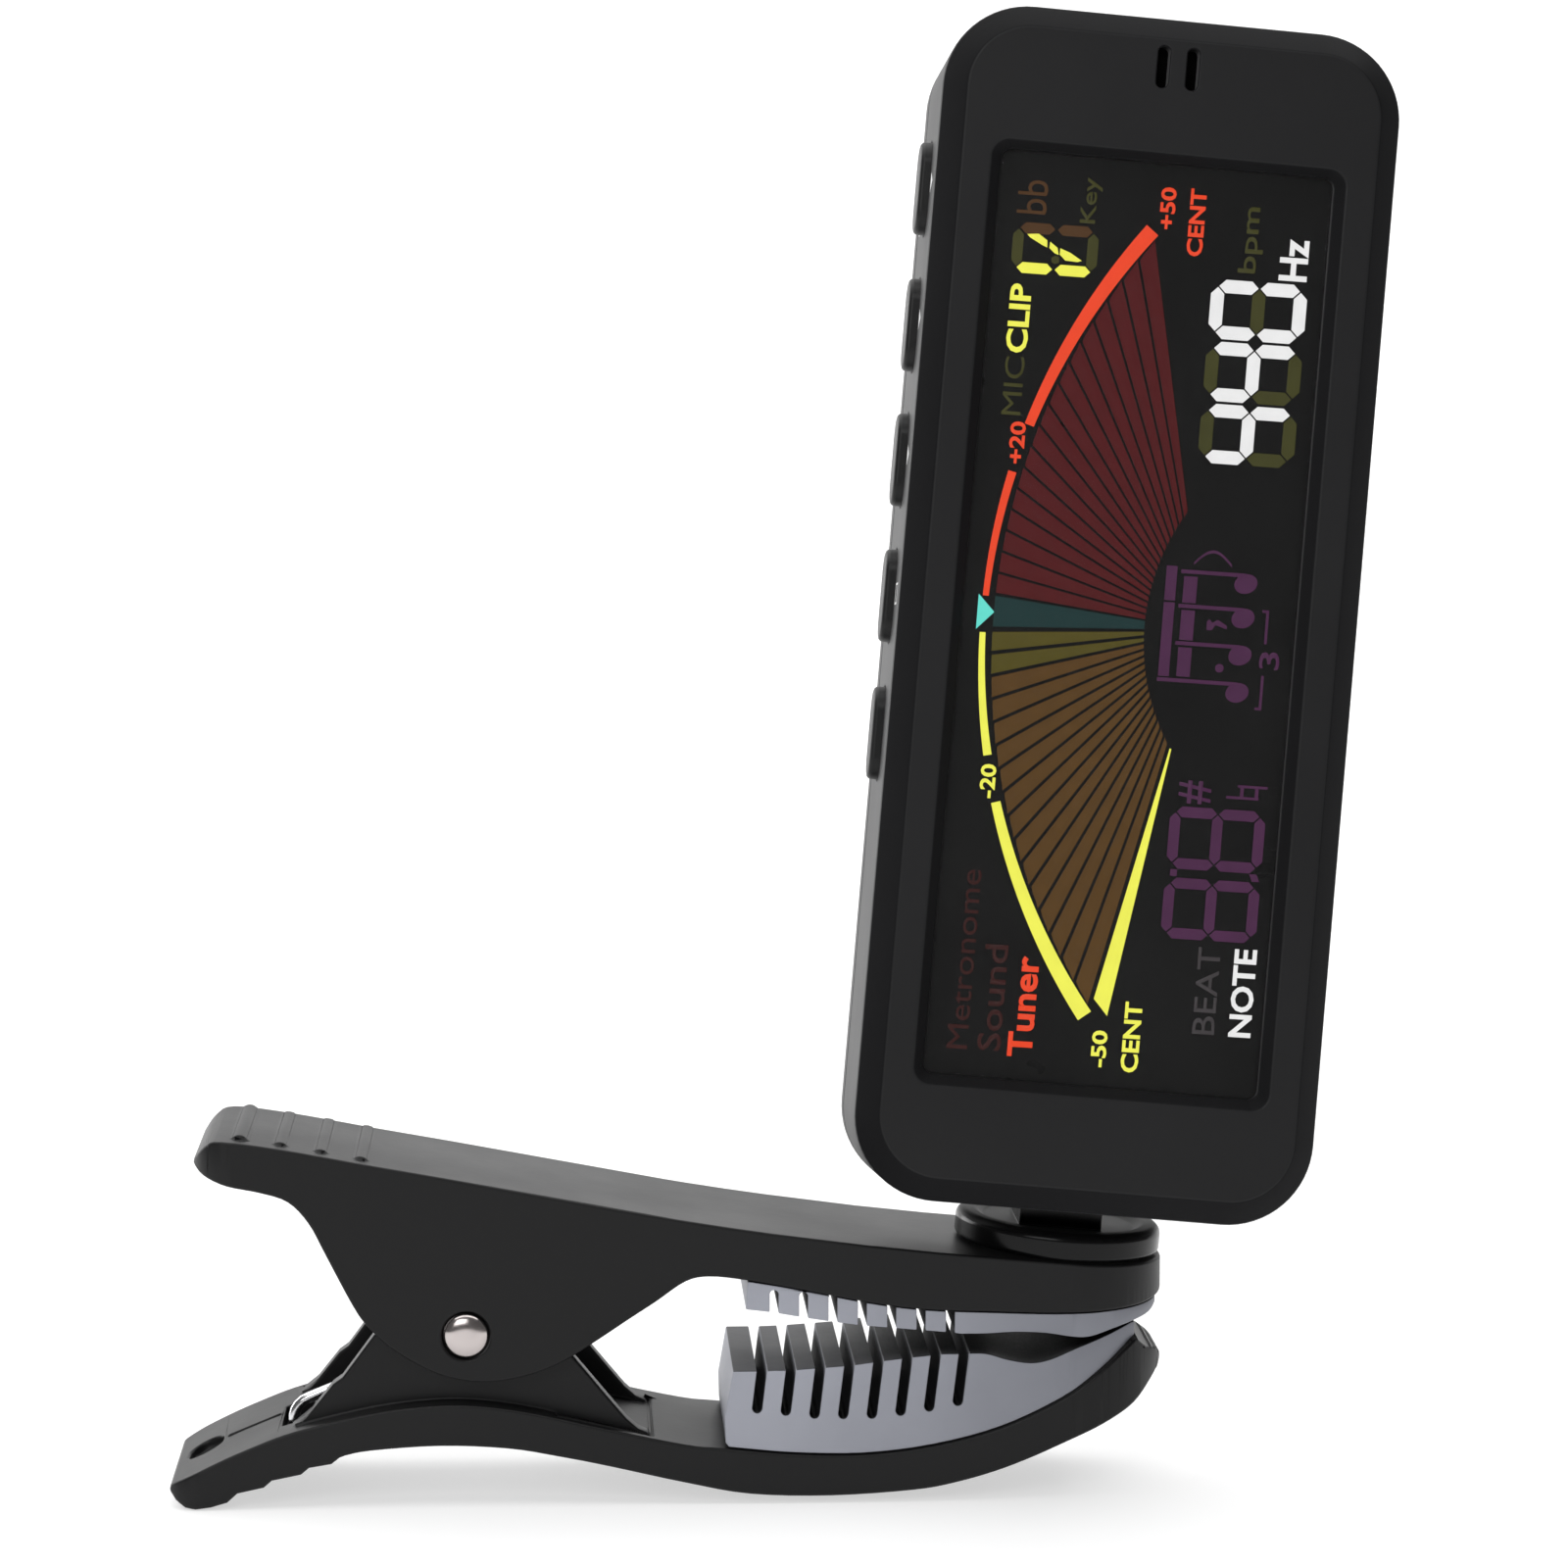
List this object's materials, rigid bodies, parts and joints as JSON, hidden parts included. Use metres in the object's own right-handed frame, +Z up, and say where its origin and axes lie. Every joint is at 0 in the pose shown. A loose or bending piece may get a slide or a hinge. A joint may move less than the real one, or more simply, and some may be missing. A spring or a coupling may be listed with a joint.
{
  "type": "clip-on instrument tuner",
  "caption": "Clip-on tuner: upright display head with side buttons on a tilt hinge and swivel, carried by a sprung clip with toothed rubber pads and finger handles.",
  "frame": {"origin": "middle of the flat grip face on the rear tooth of the lower jaw pad, where the tuner is held on an instrument", "axes": "+X along the clip towards its nose, -Y the side the display faces, +Z up from the lower jaw towards the head"},
  "size_m": [0.091, 0.0283, 0.1102],
  "materials": {
    "plastic_black": "moulded black ABS, fine satin",
    "plastic_swivel": "glossy black acetal",
    "plastic_case": "moulded charcoal black ABS, fine satin",
    "plastic_button": "black rubberised key",
    "rubber_grey": "soft grey silicone rubber",
    "rivet_metal": "polished nickel plate",
    "spring_steel": "bright plated spring wire",
    "steel": "nickel-plated steel",
    "screw_black": "black zinc-plated screw",
    "nylon": "natural nylon",
    "window_lens": "clear acrylic lens, smoked",
    "lcd_glass": "negative LCD glass, near black ground",
    "backlight": "white light guide",
    "zebra_rubber": "elastomer contact strip",
    "circuit_board": "green solder mask",
    "chip_black": "black epoxy",
    "piezo_brass": "brass disc with ceramic",
    "cell_wrap": "plain wrap on AAA cell"
  },
  "bodies": {
    "lower_jaw": {"lower_arm": "plastic_black", "lower_pad": "rubber_grey", "pivot_rivet": "rivet_metal", "torsion_spring": "spring_steel"},
    "upper_jaw": {"upper_arm": "plastic_black", "upper_pad": "rubber_grey"},
    "swivel": {"swivel_base": "plastic_swivel", "swivel_washer": "steel", "swivel_screw": "steel"},
    "head": {"front_shell": "plastic_case", "rear_shell": "plastic_case", "hinge_pin": "steel", "hinge_washers": "nylon", "display_window": "window_lens", "lcd_panel": "lcd_glass", "lcd_backlight": "backlight", "zebra_strip": "zebra_rubber", "main_board": "circuit_board", "controller_chip": "chip_black", "switch_board": "circuit_board", "tact_switches": "steel", "mic_capsule": "steel", "buzzer": "chip_black", "piezo_sensor": "piezo_brass", "battery_contacts": "steel", "battery_cells": "cell_wrap", "case_screws": "screw_black"},
    "door": {"battery_door": "plastic_case"},
    "power_key": {"power_button": "plastic_button"},
    "raise_key": {"raise_button": "plastic_button"},
    "lower_key": {"lower_button": "plastic_button"},
    "screen_key": {"screen_button": "plastic_button"},
    "mode_key": {"mode_button": "plastic_button"}
  },
  "joints": [
    {"name": "jaw_open", "type": "hinge", "parent": "lower_jaw", "child": "upper_jaw", "pos_m": [-0.0205, 0, 0.0029], "axis": [0, -1, 0], "range_deg": [0, 30], "stiffness_Nm_per_rad": 0.2, "springref_deg": -68.75, "deforming": ["torsion_spring"]},
    {"name": "swivel_turn", "type": "hinge", "parent": "upper_jaw", "child": "swivel", "pos_m": [0.0241, 0, 0.0101], "axis": [0.0924, 0, 0.9957], "continuous": true},
    {"name": "head_tilt", "type": "hinge", "parent": "swivel", "child": "head", "pos_m": [0.02457, 0, 0.01513], "axis": [-0.9957, 0, 0.0924], "range_deg": [-7, 78]},
    {"name": "door_lift", "type": "slide", "parent": "head", "child": "door", "axis": [-0.0113, 0.9925, -0.1213], "range_m": [0, 0.012]},
    {"name": "power_press", "type": "slide", "parent": "head", "child": "power_key", "axis": [0.9957, 0, -0.0924], "range_m": [0, 0.00035], "stiffness_N_per_m": 400, "springref_m": -0.0005},
    {"name": "raise_press", "type": "slide", "parent": "head", "child": "raise_key", "axis": [0.9957, 0, -0.0924], "range_m": [0, 0.00035], "stiffness_N_per_m": 400, "springref_m": -0.0005},
    {"name": "lower_press", "type": "slide", "parent": "head", "child": "lower_key", "axis": [0.9957, 0, -0.0924], "range_m": [0, 0.00035], "stiffness_N_per_m": 400, "springref_m": -0.0005},
    {"name": "screen_press", "type": "slide", "parent": "head", "child": "screen_key", "axis": [0.9957, 0, -0.0924], "range_m": [0, 0.00035], "stiffness_N_per_m": 400, "springref_m": -0.0005},
    {"name": "mode_press", "type": "slide", "parent": "head", "child": "mode_key", "axis": [0.9957, 0, -0.0924], "range_m": [0, 0.00035], "stiffness_N_per_m": 400, "springref_m": -0.0005}
  ]
}
